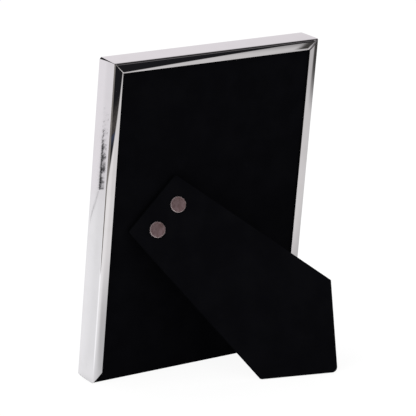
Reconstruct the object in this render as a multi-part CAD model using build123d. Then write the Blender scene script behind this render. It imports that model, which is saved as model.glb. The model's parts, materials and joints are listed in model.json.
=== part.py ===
from build123d import *
import os
from math import cos, radians, sin

# Easel back photo frame. It is modelled upright, with its picture side towards -Y, its back plane at
# Y = 0 and its bottom edge at Z = 0, and is then leant back until rails and leg stand on the table.
# All sizes are in millimetres and all angles in degrees. Left and right are as seen from the front.

# Print that the frame is made for
PRINT_WIDTH = 152.0
PRINT_HEIGHT = 203.0
PRINT_THICKNESS = 0.3
PRINT_MARGIN = 4.0  # from the print's edge to the outside of the rails

# Rails, folded from polished sheet and mitred
RAIL_DEPTH = 17.2
RAIL_WALL = 0.9
FRONT_FACE_WIDTH = 8.0
BACK_LIP_WIDTH = 6.6
RAIL_EDGE_RADIUS = 0.8
LIP_EDGE_RADIUS_SHARE = 0.33  # of the wall
MITRE_GAP = 0.12

# Bent strips inside the corners
BRACKET_LEG_LENGTH = 18.0
BRACKET_THICKNESS = 0.8
BRACKET_END_GAP = 0.5

# Glass, card and corrugated filler around the print
GLASS_THICKNESS = 2.0
PACK_CLEARANCE = 0.5
CARD_THICKNESS = 1.0
LINER_THICKNESS = 0.4
FLUTE_PITCH = 8.0
FLUTE_WALL = 0.5
FLUTE_CREST_SHARE = 0.3  # of the pitch
FLUTE_CORNER_SHARE = 0.1  # of the flute's height

# Velvet covered back panel, which slides in from below
BOARD_CORE_THICKNESS = 4.0
VELVET_THICKNESS = 0.6
LINING_THICKNESS = 0.5
LINING_CLEARANCE = 0.3
BOARD_TURN_IN = 12.0
SLIDE_CLEARANCE = 0.15
BOARD_EDGE_CLEARANCE = 0.4
BOARD_FOOT_GAP = 0.05

# How it stands
LEAN = 8.2
OPENING = 26.8

# Hinge, under the top of the leg
HINGE_SLANT = 45.0
HINGE_FROM_SIDE = 40.5  # from the right side to the middle of the pin
HINGE_HEIGHT = 111.4
LEAF_THICKNESS = 0.6
LEAF_SIDE_MARGIN = 7.6  # from the side of a leaf to the corner of the leg's top
BOARD_LEAF_LENGTH = 21.0
LEG_LEAF_LENGTH = 13.0
PIN_RADIUS = 0.7
PIN_CLEARANCE = 0.05
PIN_HEAD_RADIUS = 1.15
PIN_HEAD_LENGTH = 0.5
KNUCKLE_WALL = 0.6
KNUCKLE_CLEARANCE = 0.25  # from a knuckle to what it turns over
CENTRE_KNUCKLE_SHARE = 0.47  # of the leaf's width
KNUCKLE_END_GAP = 0.2

# Rivets, all on one size of shank
RIVET_SHANK_RADIUS = 1.5
RIVET_HOLE_CLEARANCE = 0.1
RIVET_TAIL_RADIUS = 2.4
RIVET_TAIL_HEIGHT = 0.5
WASHER_RADIUS = 3.4
WASHER_THICKNESS = 0.5
LEG_RIVET_HEAD_RADIUS = 5.3
LEG_RIVET_HEAD_HEIGHT = 1.1
LEG_RIVET_ROUND_SHARE = 0.7  # of the head's height
LEG_RIVET_SPACING_SHARE = 0.65  # of the leaf's width
LEG_RIVET_FROM_TOP = 13.2  # from the leg's top edge
BOARD_RIVET_HEAD_RADIUS = 3.0
BOARD_RIVET_HEAD_HEIGHT = 0.7
BOARD_RIVET_SPACING_SHARE = 0.625  # of the leaf's width
BOARD_RIVET_FROM_END = 4.6  # from the free end of the board's leaf
COUNTERBORE_DEPTH = 1.3
COUNTERBORE_CLEARANCE = 0.3

# Velvet covered leg
LEG_CORE_THICKNESS = 2.0
LEG_TOP_HALF_WIDTH = 23.6
LEG_UPPER_HALF_WIDTH = 40.1  # from the leg's middle line to the upper shoulder
LEG_LOWER_HALF_WIDTH = 38.0  # and to the lower one
LEG_POINT_OFFSET = 1.8  # of the foot's point, towards the lower shoulder
LEG_TURN_IN = 7.0
LEG_HEEL_GAP = 0.15  # between the leg's top edge and the velvet that stops it
POINT_RADIUS = 3.5
SHOULDER_RADIUS = 1.5
LEG_TOP_RADIUS = 1.0

# One overrun serves all cuts
OVERRUN = 2.0

# Sizes that follow from those above
WIDTH = PRINT_WIDTH + 2 * PRINT_MARGIN
HEIGHT = PRINT_HEIGHT + 2 * PRINT_MARGIN
BOARD_THICKNESS = BOARD_CORE_THICKNESS + 2 * VELVET_THICKNESS
BOARD_BACK = RAIL_WALL + SLIDE_CLEARANCE
BOARD_FRONT = BOARD_BACK + BOARD_THICKNESS
SLOT_DEPTH = BOARD_FRONT + SLIDE_CLEARANCE
GLASS_FRONT = RAIL_DEPTH - RAIL_WALL
PRINT_FRONT = GLASS_FRONT - GLASS_THICKNESS
CARD_FRONT = PRINT_FRONT - PRINT_THICKNESS
PAD_FRONT = CARD_FRONT - CARD_THICKNESS
PAD_THICKNESS = PAD_FRONT - SLOT_DEPTH
PACK_INSET = RAIL_WALL + BRACKET_THICKNESS + PACK_CLEARANCE
PACK_WIDTH = WIDTH - 2 * PACK_INSET
PACK_HEIGHT = HEIGHT - 2 * PACK_INSET
LEAF_WIDTH = 2 * (LEG_TOP_HALF_WIDTH - LEAF_SIDE_MARGIN)
CENTRE_KNUCKLE_LENGTH = LEAF_WIDTH * CENTRE_KNUCKLE_SHARE
KNUCKLE_RADIUS = PIN_RADIUS + PIN_CLEARANCE + KNUCKLE_WALL
PIN_HEIGHT = KNUCKLE_RADIUS + KNUCKLE_CLEARANCE  # above the board's velvet, and below the leg
LEG_THICKNESS = LEG_CORE_THICKNESS + 2 * VELVET_THICKNESS
LEG_BACK = PIN_HEIGHT + LEG_THICKNESS
LEG_HEEL = (PIN_HEIGHT * (1 + cos(radians(OPENING))) - LEG_HEEL_GAP) / sin(radians(OPENING))
RIVET_HOLE_RADIUS = RIVET_SHANK_RADIUS + RIVET_HOLE_CLEARANCE
LEG_RIVET_SPACING = LEAF_WIDTH * LEG_RIVET_SPACING_SHARE
LEG_RIVET_X = LEG_RIVET_FROM_TOP - LEG_HEEL
BOARD_RIVET_SPACING = LEAF_WIDTH * BOARD_RIVET_SPACING_SHARE
BOARD_RIVET_X = BOARD_LEAF_LENGTH - BOARD_RIVET_FROM_END
SIDES = (-1, 1)

STANDING = (Align.CENTER, Align.CENTER, Align.MIN)
FROM_CORNER = (Align.MIN, Align.MIN, Align.MIN)
TO_FRONT = Vector(0, -1, 0)
TO_BACK = Vector(0, 1, 0)

# Hinge planes: X runs down the leg, Y along the pin and Z away from the board
pin_middle = Vector(WIDTH / 2 - HINGE_FROM_SIDE, PIN_HEIGHT - BOARD_BACK, HINGE_HEIGHT)
down_leg = Vector(-sin(radians(HINGE_SLANT)), 0, -cos(radians(HINGE_SLANT)))
closed_leg = Plane(pin_middle, x_dir=down_leg, z_dir=TO_BACK)
open_leg = Plane(
    pin_middle,
    x_dir=down_leg * cos(radians(OPENING)) + TO_BACK * sin(radians(OPENING)),
    z_dir=TO_BACK * cos(radians(OPENING)) - down_leg * sin(radians(OPENING)),
)
lean_back = Rot(-LEAN, 0, 0)


# Shapes that several pieces share
def block(low, high):
    """A box from its lowest corner to its highest."""
    size = Vector(high) - Vector(low)
    return Pos(*low) * Box(size.X, size.Y, size.Z, align=FROM_CORNER)


def pane(width, height, front, thickness):
    """An upright sheet in the middle of the frame; front is its depth below the back plane."""
    low = (-width / 2, -front, HEIGHT / 2 - height / 2)
    return block(low, (width / 2, thickness - front, HEIGHT / 2 + height / 2))


def disc(place, bottom, radius, thickness):
    """A round disc on a hinge plane, from the height of bottom."""
    return Pos(*place, bottom) * Cylinder(radius, thickness, align=STANDING)


def barrel(start, end, radius):
    """A round bar along the pin."""
    return Pos(0, start, 0) * Rot(-90, 0, 0) * Cylinder(radius, end - start, align=STANDING)


def round_corner(outline, corner, radius):
    """The outline with the vertex nearest to corner rounded."""
    return fillet(outline.vertices().sort_by_distance(corner)[0], radius)


def rivet_places(x, spacing):
    """The two places of a pair of rivets on a hinge plane."""
    return [(x, side * spacing / 2) for side in SIDES]


def rivet_pair(places, seat, head_radius, head_height, tail_seat, round_share=0):
    """Two rivets, with heads on seat and tails spread below tail_seat."""
    pair = []
    for place in places:
        head = disc(place, seat, head_radius, head_height)
        if round_share:
            head = fillet(head.edges().sort_by(Axis.Z)[-1], head_height * round_share)
        tail_bottom = tail_seat - RIVET_TAIL_HEIGHT
        shank = disc(place, tail_bottom, RIVET_SHANK_RADIUS, seat - tail_bottom)
        tail = disc(place, tail_bottom, RIVET_TAIL_RADIUS, RIVET_TAIL_HEIGHT)
        pair.append(head + shank + tail)
    return pair[0] + pair[1]


def washer_pair(places, bottom):
    """Two flat washers under the rivets' tails."""
    rings = []
    for place in places:
        ring = disc(place, bottom, WASHER_RADIUS, WASHER_THICKNESS)
        bore = disc(place, bottom - OVERRUN, RIVET_HOLE_RADIUS, WASHER_THICKNESS + 2 * OVERRUN)
        rings.append(ring - bore)
    return rings[0] + rings[1]


def shank_holes(places, low, high):
    """Cuts for a pair of rivets through everything between two heights of a hinge plane."""
    depth = high - low + 2 * OVERRUN
    return [disc(place, low - OVERRUN, RIVET_HOLE_RADIUS, depth) for place in places]


# Rails and corners
def rail_outline(has_lip):
    """The folded section: X runs inwards from the outside, Y from the back plane to the front."""
    back = [(0, SLOT_DEPTH), (RAIL_WALL, SLOT_DEPTH)]
    folds = [(0, RAIL_DEPTH)]
    rims = [(FRONT_FACE_WIDTH, GLASS_FRONT), (FRONT_FACE_WIDTH, RAIL_DEPTH)]
    if has_lip:
        back = [(0, 0), (BACK_LIP_WIDTH, 0), (BACK_LIP_WIDTH, RAIL_WALL), (RAIL_WALL, RAIL_WALL)]
        folds.append((0, 0))
        rims += [(BACK_LIP_WIDTH, 0), (BACK_LIP_WIDTH, RAIL_WALL)]
    outline = make_face(Polyline(*back, (RAIL_WALL, GLASS_FRONT), *rims[:2], (0, RAIL_DEPTH), close=True))
    for fold in folds:
        outline = round_corner(outline, fold, RAIL_EDGE_RADIUS)
    for rim in rims:
        outline = round_corner(outline, rim, RAIL_WALL * LIP_EDGE_RADIUS_SHARE)
    return outline


def rail(middle, inwards, length, has_lip=True):
    """A rail with both ends mitred; middle is the middle of its outer edge on the back plane."""
    along = inwards.cross(TO_FRONT)
    start = middle - along * (length / 2)
    bar = extrude(Plane(start, x_dir=inwards, z_dir=along) * rail_outline(has_lip), length)
    for end in SIDES:
        beyond = (along * end + inwards).normalized()
        corner = middle + along * (end * length / 2)
        bar = split(bar, bisect_by=Plane(corner - beyond * (MITRE_GAP / 2), z_dir=beyond), keep=Keep.BOTTOM)
    return bar


def corner_bracket():
    """A strip bent along two walls, with its bend at the origin and legs along +X and +Z."""
    front = -(GLASS_FRONT - BRACKET_END_GAP)
    back = -(SLOT_DEPTH + BRACKET_END_GAP)
    lying = block((0, front, 0), (BRACKET_LEG_LENGTH, back, BRACKET_THICKNESS))
    upright = block((0, front, 0), (BRACKET_THICKNESS, back, BRACKET_LEG_LENGTH))
    return lying + upright


def frame_pieces():
    """The four rails and the brackets that join them."""
    half = WIDTH / 2
    inner_half = half - RAIL_WALL
    inner_top = HEIGHT - RAIL_WALL
    return {
        "top_rail": rail(Vector(0, 0, HEIGHT), Vector(0, 0, -1), WIDTH),
        "bottom_rail": rail(Vector(0, 0, 0), Vector(0, 0, 1), WIDTH, has_lip=False),
        "left_rail": rail(Vector(-half, 0, HEIGHT / 2), Vector(1, 0, 0), HEIGHT),
        "right_rail": rail(Vector(half, 0, HEIGHT / 2), Vector(-1, 0, 0), HEIGHT),
        "corner_bracket_bottom_left": Pos(-inner_half, 0, RAIL_WALL) * corner_bracket(),
        "corner_bracket_bottom_right": Pos(inner_half, 0, RAIL_WALL) * Rot(0, -90, 0) * corner_bracket(),
        "corner_bracket_top_left": Pos(-inner_half, 0, inner_top) * Rot(0, 90, 0) * corner_bracket(),
        "corner_bracket_top_right": Pos(inner_half, 0, inner_top) * Rot(0, 180, 0) * corner_bracket(),
    }


# Glass, print, card and filler
def filler_pad():
    """A pad of corrugated card, with its flutes upright between two liners."""
    flute_height = PAD_THICKNESS - 2 * LINER_THICKNESS
    cell_height = flute_height - FLUTE_WALL
    count = max(1, round(PACK_WIDTH / FLUTE_PITCH))
    pitch = PACK_WIDTH / count
    crest_half = pitch * FLUTE_CREST_SHARE / 2
    narrow = crest_half - FLUTE_WALL / 2
    broad = pitch / 2 - crest_half - FLUTE_WALL / 2
    low = -cell_height / 2
    corners = [(-broad, low), (broad, low), (narrow, -low), (-narrow, -low)]
    cell = make_face(Polyline(*corners, close=True))
    cell = fillet(cell.vertices(), flute_height * FLUTE_CORNER_SHARE)
    section = Rectangle(PACK_WIDTH, PAD_THICKNESS)
    for index in range(count):
        across = -PACK_WIDTH / 2 + pitch * (index + 1 / 2)
        section -= Pos(across, -FLUTE_WALL / 2) * cell
        if index:
            section -= Pos(across - pitch / 2, FLUTE_WALL / 2) * Rot(0, 0, 180) * cell
    upright = Plane((0, -(PAD_FRONT + SLOT_DEPTH) / 2, PACK_INSET))
    return extrude(upright * section, PACK_HEIGHT)


def picture_pieces():
    """What the rails hold in front of the back panel."""
    return {
        "glass_pane": pane(PACK_WIDTH, PACK_HEIGHT, GLASS_FRONT, GLASS_THICKNESS),
        "photo_print": pane(PRINT_WIDTH, PRINT_HEIGHT, PRINT_FRONT, PRINT_THICKNESS),
        "backing_card": pane(PACK_WIDTH, PACK_HEIGHT, CARD_FRONT, CARD_THICKNESS),
        "filler_pad": filler_pad(),
    }


# Back panel
def board_block(inset, front, back):
    """A sheet of the back panel, set in from the panel's four edges, between two depths."""
    half = WIDTH / 2 - RAIL_WALL - BOARD_EDGE_CLEARANCE - inset
    top = HEIGHT - RAIL_WALL - BOARD_EDGE_CLEARANCE - inset
    return block((-half, -front, BOARD_FOOT_GAP + inset), (half, -back, top))


def board_leaf():
    """The hinge leaf that lies on the board, with the two outer knuckles."""
    half = LEAF_WIDTH / 2
    notch = CENTRE_KNUCKLE_LENGTH / 2 + KNUCKLE_END_GAP
    seat = -PIN_HEIGHT
    top = seat + LEAF_THICKNESS
    leaf = block((KNUCKLE_RADIUS + KNUCKLE_CLEARANCE, -half, seat), (BOARD_LEAF_LENGTH, half, top))
    for start, end in ((-half, -notch), (notch, half)):
        leaf += block((0, start, seat), (BOARD_LEAF_LENGTH, end, top))
        leaf += barrel(start, end, KNUCKLE_RADIUS)
    leaf -= barrel(-half - OVERRUN, half + OVERRUN, PIN_RADIUS + PIN_CLEARANCE)
    return leaf - shank_holes(rivet_places(BOARD_RIVET_X, BOARD_RIVET_SPACING), seat, top)


def hinge_pin():
    """The pin, headed at both ends."""
    end = LEAF_WIDTH / 2 + KNUCKLE_END_GAP
    pin = barrel(-end, end, PIN_RADIUS)
    pin += barrel(end, end + PIN_HEAD_LENGTH, PIN_HEAD_RADIUS)
    return pin + barrel(-end - PIN_HEAD_LENGTH, -end, PIN_HEAD_RADIUS)


def back_panel_pieces():
    """The velvet covered board and the hinge parts fixed to it."""
    core_back = BOARD_BACK + VELVET_THICKNESS
    core_front = core_back + BOARD_CORE_THICKNESS
    surface = -PIN_HEIGHT
    core_bottom = surface - VELVET_THICKNESS - BOARD_CORE_THICKNESS
    tail_seat = core_bottom + COUNTERBORE_DEPTH
    places = rivet_places(BOARD_RIVET_X, BOARD_RIVET_SPACING)
    drilled = [closed_leg * hole for hole in shank_holes(places, core_bottom, surface)]
    bore_radius = WASHER_RADIUS + COUNTERBORE_CLEARANCE
    bores = [disc(place, core_bottom - OVERRUN, bore_radius, COUNTERBORE_DEPTH + OVERRUN) for place in places]
    sunk = [closed_leg * bore for bore in bores]
    core = board_block(VELVET_THICKNESS, core_front, core_back)
    window = board_block(BOARD_TURN_IN, BOARD_FRONT + OVERRUN, core_front)
    cover = board_block(0, BOARD_FRONT, BOARD_BACK)
    lining_inset = BOARD_TURN_IN + LINING_CLEARANCE
    washer_bottom = tail_seat - WASHER_THICKNESS
    rivets = rivet_pair(
        places,
        surface + LEAF_THICKNESS,
        BOARD_RIVET_HEAD_RADIUS,
        BOARD_RIVET_HEAD_HEIGHT,
        washer_bottom,
    )
    return {
        "board_core": core - drilled - sunk,
        "board_velvet": cover - core - window - drilled,
        "board_lining": board_block(lining_inset, core_front + LINING_THICKNESS, core_front),
        "hinge_board_leaf": closed_leg * board_leaf(),
        "hinge_pin": closed_leg * hinge_pin(),
        "board_rivets": closed_leg * rivets,
        "board_rivet_washers": closed_leg * washer_pair(places, washer_bottom),
    }


# Leg
def leg_outline(table_height):
    """The leg's outline on its hinge plane, with its foot cut to lie on the table when it is open."""
    lean, opening, slant = radians(LEAN), radians(OPENING), radians(HINGE_SLANT)
    fall = sin(lean) * sin(opening) + cos(lean) * cos(slant) * cos(opening)
    rise_of_underside = PIN_HEIGHT * cos(slant) * sin(opening)
    reach_of_underside = PIN_HEIGHT * cos(opening)
    drop = cos(lean) * (pin_middle.Z + rise_of_underside)
    drop -= sin(lean) * (pin_middle.Y + reach_of_underside) + table_height
    foot_slope = cos(lean) * sin(slant) / fall
    side_slope = cos(slant) / sin(slant)
    point = (drop / fall - foot_slope * LEG_POINT_OFFSET, -LEG_POINT_OFFSET)
    lower = (drop / fall - foot_slope * LEG_LOWER_HALF_WIDTH, -LEG_LOWER_HALF_WIDTH)
    upper_run = LEG_UPPER_HALF_WIDTH + LEG_POINT_OFFSET
    upper = (point[0] - side_slope * upper_run, LEG_UPPER_HALF_WIDTH)
    top_low = (-LEG_HEEL, -LEG_TOP_HALF_WIDTH)
    top_high = (-LEG_HEEL, LEG_TOP_HALF_WIDTH)
    outline = make_face(Polyline(top_low, lower, point, upper, top_high, close=True))
    radii = {
        top_low: LEG_TOP_RADIUS,
        lower: SHOULDER_RADIUS,
        point: POINT_RADIUS,
        upper: SHOULDER_RADIUS,
        top_high: LEG_TOP_RADIUS,
    }
    for corner, radius in radii.items():
        outline = round_corner(outline, corner, radius)
    return outline


def leg_leaf():
    """The hinge leaf under the leg, with the centre knuckle."""
    half = LEAF_WIDTH / 2
    knuckle_half = CENTRE_KNUCKLE_LENGTH / 2
    bottom = PIN_HEIGHT - LEAF_THICKNESS
    clear = KNUCKLE_RADIUS + KNUCKLE_CLEARANCE
    leaf = block((clear, -half, bottom), (LEG_LEAF_LENGTH, half, PIN_HEIGHT))
    leaf += block((0, -knuckle_half, bottom), (LEG_LEAF_LENGTH, knuckle_half, PIN_HEIGHT))
    leaf += barrel(-knuckle_half, knuckle_half, KNUCKLE_RADIUS)
    leaf -= barrel(-half, half, PIN_RADIUS + PIN_CLEARANCE)
    return leaf - shank_holes(rivet_places(LEG_RIVET_X, LEG_RIVET_SPACING), bottom, PIN_HEIGHT)


def leg_pieces(table_height):
    """The velvet covered leg and the hinge parts fixed to it, opened to its stop."""
    places = rivet_places(LEG_RIVET_X, LEG_RIVET_SPACING)
    drilled = shank_holes(places, PIN_HEIGHT, LEG_BACK)
    outline = leg_outline(table_height)
    core_low = PIN_HEIGHT + VELVET_THICKNESS
    core = Pos(0, 0, core_low) * extrude(offset(outline, -VELVET_THICKNESS), LEG_CORE_THICKNESS)
    window = Pos(0, 0, PIN_HEIGHT) * extrude(offset(outline, -LEG_TURN_IN), VELVET_THICKNESS)
    cover = Pos(0, 0, PIN_HEIGHT) * extrude(outline, LEG_THICKNESS)
    lining_outline = offset(outline, -LEG_TURN_IN - LINING_CLEARANCE)
    lining = Pos(0, 0, core_low - LINING_THICKNESS) * extrude(lining_outline, LINING_THICKNESS)
    washer_bottom = PIN_HEIGHT - LEAF_THICKNESS - WASHER_THICKNESS
    rivets = rivet_pair(
        places,
        LEG_BACK,
        LEG_RIVET_HEAD_RADIUS,
        LEG_RIVET_HEAD_HEIGHT,
        washer_bottom,
        LEG_RIVET_ROUND_SHARE,
    )
    pieces = {
        "leg_core": core - drilled,
        "leg_velvet": cover - core - window - drilled,
        "leg_lining": lining - drilled,
        "hinge_leg_leaf": leg_leaf(),
        "leg_rivets": rivets,
        "leg_rivet_washers": washer_pair(places, washer_bottom),
    }
    return {name: open_leg * piece for name, piece in pieces.items()}


# Whole frame, leant back on the table and then centred over its footprint
frame = frame_pieces()
table = min((lean_back * piece).bounding_box().min.Z for piece in frame.values())
upright = {**frame, **picture_pieces(), **back_panel_pieces(), **leg_pieces(table)}
standing = {name: lean_back * piece for name, piece in upright.items()}
boxes = [piece.bounding_box() for piece in standing.values()]
middle_x = (min(box.min.X for box in boxes) + max(box.max.X for box in boxes)) / 2
middle_y = (min(box.min.Y for box in boxes) + max(box.max.Y for box in boxes)) / 2
floor = min(box.min.Z for box in boxes)
settle = Pos(-middle_x, -middle_y, -floor)

os.makedirs("parts", exist_ok=True)
for name, piece in standing.items():
    export_step(settle * piece, f"parts/{name}.step")

# Where the joints and the resting face lie on the standing frame
underside_middle = Vector(0, -(SLOT_DEPTH + RAIL_DEPTH) / 2, 0)
print("settle", Vector(-middle_x, -middle_y, -floor))
print("pin middle", (settle * lean_back * Pos(pin_middle)).position)
print("pin axis, closing", (lean_back * Pos(closed_leg.y_dir)).position)
print("slide, outwards", (lean_back * Pos(0, 0, -1)).position)
print("underside middle", (settle * lean_back * Pos(underside_middle)).position)
print("leg length", LEG_HEEL, "table", table, "floor", floor)
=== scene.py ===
"""Looks of the easel back photo frame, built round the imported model.

Sizes in the dataclass fields are in millimetres, and meshes are in metres.
"""

import json
import logging
from dataclasses import dataclass
from enum import Enum
from math import acos, pi, radians, tan
from typing import Any, Dict, Iterable, List, Optional, Sequence, Tuple, Union

import bmesh
import bpy
from mathutils import Matrix, Vector


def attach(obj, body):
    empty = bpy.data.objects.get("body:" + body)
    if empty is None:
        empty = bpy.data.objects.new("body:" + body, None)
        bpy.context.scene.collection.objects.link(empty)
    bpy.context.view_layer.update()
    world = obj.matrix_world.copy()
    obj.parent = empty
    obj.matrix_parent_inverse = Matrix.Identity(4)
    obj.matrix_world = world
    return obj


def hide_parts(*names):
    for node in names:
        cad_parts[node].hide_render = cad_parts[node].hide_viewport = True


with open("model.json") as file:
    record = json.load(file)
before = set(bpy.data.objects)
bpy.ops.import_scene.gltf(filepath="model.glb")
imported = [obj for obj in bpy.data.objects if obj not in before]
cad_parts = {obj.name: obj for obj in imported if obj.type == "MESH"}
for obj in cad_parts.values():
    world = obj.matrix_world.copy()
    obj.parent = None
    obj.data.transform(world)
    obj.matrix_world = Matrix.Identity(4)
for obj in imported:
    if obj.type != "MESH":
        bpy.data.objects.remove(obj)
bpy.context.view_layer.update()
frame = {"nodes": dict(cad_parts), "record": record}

LOG = logging.getLogger("photo_frame")
MM = 0.001
SHARP_ANGLE = radians(40)
WELD = 1e-6
ROUND = 0.5  # profile of a round bevel
FLAT_WEIGHT = 100  # how strongly large faces set the normals beside them

Colour = Tuple[float, float, float]
Triple = Tuple[float, float, float]  # one value for each axis
Span = Tuple[float, float]  # where a change starts, and where it ends
Noise = Tuple[float, float, float]  # waves to a unit, octaves, and strength of the finer ones
Term = Union["Value", float, Sequence[float]]


# Shader maths
class Value:
    """A shader value that takes part in Python expressions."""

    def __init__(self, graph: "Graph", socket: bpy.types.NodeSocket) -> None:
        """Wraps one output socket of a graph."""
        self.graph = graph
        self.socket = socket

    def maths(self, operation: str, *terms: Term) -> "Value":
        """Adds a Math node.

        Args:
            operation: the Math node's operation.
            terms: its inputs, in order.

        Returns:
            The node's result.
        """
        node = self.graph.node("ShaderNodeMath", {"operation": operation}, dict(enumerate(terms)))
        return Value(self.graph, node.outputs[0])

    def __add__(self, other: Term) -> "Value":
        """self + other."""
        return self.maths("ADD", self, other)

    def __radd__(self, other: Term) -> "Value":
        """other + self."""
        return self.maths("ADD", other, self)

    def __sub__(self, other: Term) -> "Value":
        """self - other."""
        return self.maths("SUBTRACT", self, other)

    def __rsub__(self, other: Term) -> "Value":
        """other - self."""
        return self.maths("SUBTRACT", other, self)

    def __mul__(self, other: Term) -> "Value":
        """self * other."""
        return self.maths("MULTIPLY", self, other)

    def highest(self, other: Term) -> "Value":
        """The larger of two values."""
        return self.maths("MAXIMUM", self, other)

    def ease(self, low: float, high: float) -> "Value":
        """A smooth rise from 0 at low to 1 at high."""
        node = self.graph.node(
            "ShaderNodeMapRange",
            {"interpolation_type": "SMOOTHSTEP"},
            {"Value": self, "From Min": low, "From Max": high},
        )
        return Value(self.graph, node.outputs[0])

    def fade(self, low: float, high: float) -> "Value":
        """A smooth fall from 1 at low to 0 at high."""
        return 1 - self.ease(low, high)

    def band(self, rise: Span, fall: Span) -> "Value":
        """A smooth rise over one span and a fall over another."""
        return self.ease(*rise) * self.fade(*fall)


class Graph:
    """The node tree of a finish or of the surroundings."""

    def __init__(self, tree: bpy.types.NodeTree) -> None:
        """Empties a tree and takes it over."""
        self.tree = tree
        tree.nodes.clear()

    def node(
        self,
        kind: str,
        settings: Optional[Dict[str, Any]] = None,
        sockets: Optional[Dict[Union[str, int], Any]] = None,
    ) -> bpy.types.Node:
        """Adds a node.

        Args:
            kind: the node's type.
            settings: its own settings, which are set first.
            sockets: the values or links of its inputs.

        Returns:
            The new node.
        """
        node = self.tree.nodes.new(kind)
        for name, setting in (settings or {}).items():
            setattr(node, name, setting)
        for key, term in (sockets or {}).items():
            if isinstance(term, Value):
                self.tree.links.new(term.socket, node.inputs[key])
            else:
                node.inputs[key].default_value = term
        return node

    def out(self, node: bpy.types.Node, key: Union[str, int] = 0) -> Value:
        """One output of a node."""
        return Value(self, node.outputs[key])

    def coords(self, scale: Sequence[float] = (1, 1, 1), turn: Sequence[float] = (0, 0, 0)) -> Value:
        """Object coordinates in metres, turned and then stretched.

        Args:
            scale: the stretch along each axis.
            turn: the turn about each axis, in radians.

        Returns:
            The coordinates.
        """
        place = self.out(self.node("ShaderNodeTexCoord"), "Object")
        turned = self.node("ShaderNodeMapping", None, {"Vector": place, "Rotation": turn})
        return self.out(self.node("ShaderNodeMapping", None, {"Vector": self.out(turned), "Scale": scale}))

    def noise(self, coords: Value, scale: float, detail: float, roughness: float) -> Value:
        """Soft noise from 0 to 1.

        Args:
            coords: where it is read.
            scale: waves to a unit of the coordinates.
            detail: octaves.
            roughness: strength of the finer octaves.

        Returns:
            The noise.
        """
        sockets = {"Vector": coords, "Scale": scale, "Detail": detail, "Roughness": roughness}
        return self.out(self.node("ShaderNodeTexNoise", None, sockets))

    def blend(self, factor: Term, first: Term, second: Term) -> Value:
        """Mixes two colours.

        Args:
            factor: 0 gives the first, 1 the second.
            first: a colour or a link.
            second: a colour or a link.

        Returns:
            The mixed colour.
        """
        colours = {6: rgba(first), 7: rgba(second)}
        node = self.node("ShaderNodeMix", {"data_type": "RGBA"}, {0: factor, **colours})
        return self.out(node, 2)

    def bump(self, height: Value, distance: float, strength: float = 1.0) -> Value:
        """A normal that follows a height.

        Args:
            height: the height, from 0 to 1.
            distance: what a height of 1 stands for, in metres.
            strength: how much of it is used.

        Returns:
            The normal.
        """
        sockets = {"Height": height, "Distance": distance, "Strength": strength}
        return self.out(self.node("ShaderNodeBump", None, sockets), "Normal")

    def principled(self, sockets: Dict[str, Any]) -> Value:
        """The main surface shader with some of its sockets set."""
        return self.out(self.node("ShaderNodeBsdfPrincipled", None, sockets))

    def finish(self, surface: Value, kind: str = "ShaderNodeOutputMaterial") -> None:
        """Joins the shader to the tree's output."""
        self.node(kind, None, {"Surface": surface})


def rgba(colour: Term) -> Any:
    """A colour with its fourth value, or a link as it is."""
    return colour if isinstance(colour, Value) else (*colour, 1.0)


# Finishes
@dataclass(frozen=True)
class Finish:
    """A procedural finish; each kind draws its own nodes."""

    name: str

    def draw(self, graph: Graph) -> Value:
        """Draws the nodes and returns the shader."""
        raise NotImplementedError

    def material(self) -> bpy.types.Material:
        """The material of this finish, made once."""
        title = f"{self.name}_finish"
        made = bpy.data.materials.get(title)
        if made is None:
            made = bpy.data.materials.new(title)
            made.use_nodes = True
            graph = Graph(made.node_tree)
            graph.finish(self.draw(graph))
        return made


@dataclass(frozen=True)
class PolishedMetal(Finish):
    """Mirror polished plate, with faint polishing streaks along the rail and a slight wave."""

    streaks: Triple  # waves to a metre
    turn: Triple
    colour: Colour = (0.80, 0.785, 0.80)
    hazed: Colour = (0.765, 0.75, 0.76)
    wave_height: float = 0.016 * MM
    wave_share: float = 0.16  # waves to a streak
    wave_noise: Noise = (1.0, 1.0, 0.5)
    streak_height: float = 0.0003 * MM
    streak_noise: Noise = (1.0, 3.0, 0.6)
    haze_noise: Noise = (70.0, 4.0, 0.6)
    haze_rise: Span = (0.45, 0.8)
    least_roughness: float = 0.004
    streak_roughness: float = 0.016
    haze_roughness: float = 0.016

    def draw(self, graph: Graph) -> Value:
        """Draws the nodes and returns the shader."""
        waves = [streak * self.wave_share for streak in self.streaks]
        along = graph.noise(graph.coords(self.streaks, self.turn), *self.streak_noise)
        wave = graph.noise(graph.coords(waves, self.turn), *self.wave_noise)
        haze = graph.noise(graph.coords(), *self.haze_noise)
        height = wave + along * (self.streak_height / self.wave_height)
        roughness = along * self.streak_roughness + haze * self.haze_roughness + self.least_roughness
        return graph.principled({
            "Base Color": graph.blend(haze.ease(*self.haze_rise), self.colour, self.hazed),
            "Metallic": 1.0,
            "Roughness": roughness,
            "Normal": graph.bump(height, self.wave_height),
        })


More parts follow.
